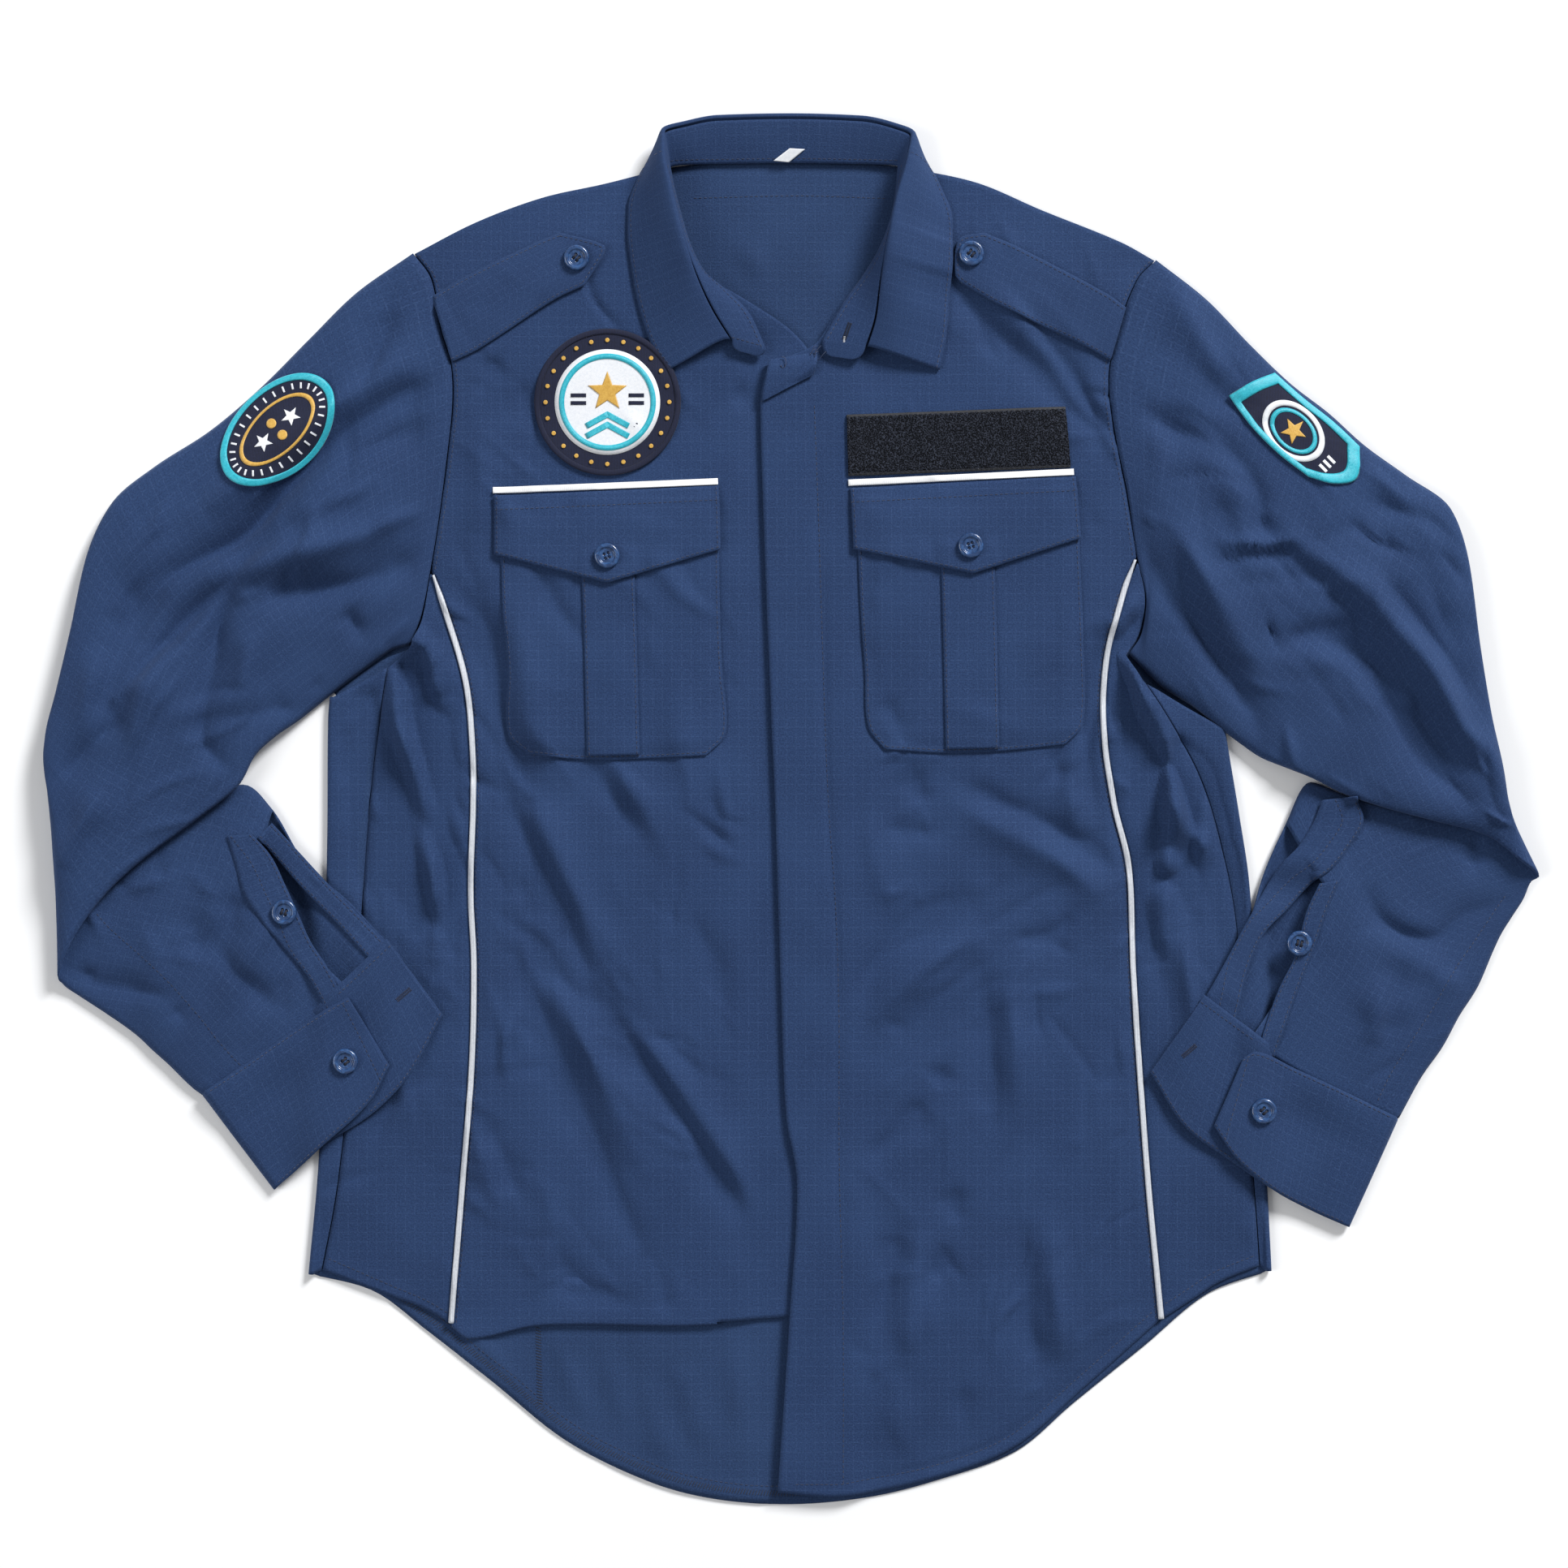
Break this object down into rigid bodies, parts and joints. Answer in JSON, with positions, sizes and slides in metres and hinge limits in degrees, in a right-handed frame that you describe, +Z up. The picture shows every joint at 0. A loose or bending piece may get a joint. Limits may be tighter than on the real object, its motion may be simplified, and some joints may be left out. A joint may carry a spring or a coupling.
{
  "type": "uniform shirt",
  "caption": "Long-sleeved uniform shirt lying flat, front up, with folded sleeves, flap pockets, shoulder straps and bright piping.",
  "frame": {"origin": "middle of the bounding box in plan, on the surface that the shirt lies on", "axes": "+Z up off the surface, +X to the right of the picture, +Y from hem to collar"},
  "size_m": [0.8763, 0.8191, 0.0263],
  "materials": {
    "navy_cloth": "matt ripstop",
    "navy_lining": "matt, wrong side",
    "bright_tape": "smooth white tape",
    "bright_piping": "reflective silver",
    "button_resin": "glossy",
    "hook_and_loop": "matt pile",
    "chest_badge": "embroidered",
    "sleeve_badge": "embroidered",
    "white_tag": "woven, blank"
  },
  "bodies": {
    "root": {"back_panel": "navy_cloth", "front_left": "navy_cloth", "front_right": "navy_cloth", "side_left": "navy_cloth", "side_right": "navy_cloth", "sleeve_left": "navy_cloth", "sleeve_right": "navy_cloth", "cuff_left": "navy_cloth", "cuff_right": "navy_cloth", "collar_stand": "navy_cloth", "collar_leaf": "navy_cloth", "epaulette_left": "navy_cloth", "epaulette_right": "navy_cloth", "pocket_left": "navy_cloth", "pocket_right": "navy_cloth", "pleat_left": "navy_cloth", "pleat_right": "navy_cloth", "flap_left": "navy_cloth", "flap_right": "navy_cloth", "placket_left": "navy_cloth", "placket_right": "navy_cloth", "placket_under_left": "navy_cloth", "placket_under_right": "navy_cloth", "fly_strip": "navy_lining", "strip_left": "bright_tape", "strip_right": "bright_tape", "piping_left": "bright_piping", "piping_right": "bright_piping", "button_cuff_left": "button_resin", "button_cuff_right": "button_resin", "button_epaulette_left": "button_resin", "button_epaulette_right": "button_resin", "button_placket_left": "button_resin", "button_placket_right": "button_resin", "button_pocket_left": "button_resin", "button_pocket_right": "button_resin", "hook_strip": "hook_and_loop", "badge_chest": "chest_badge", "badge_oval": "sleeve_badge", "badge_shield": "sleeve_badge", "neck_tag": "white_tag"}
  },
  "joints": []
}
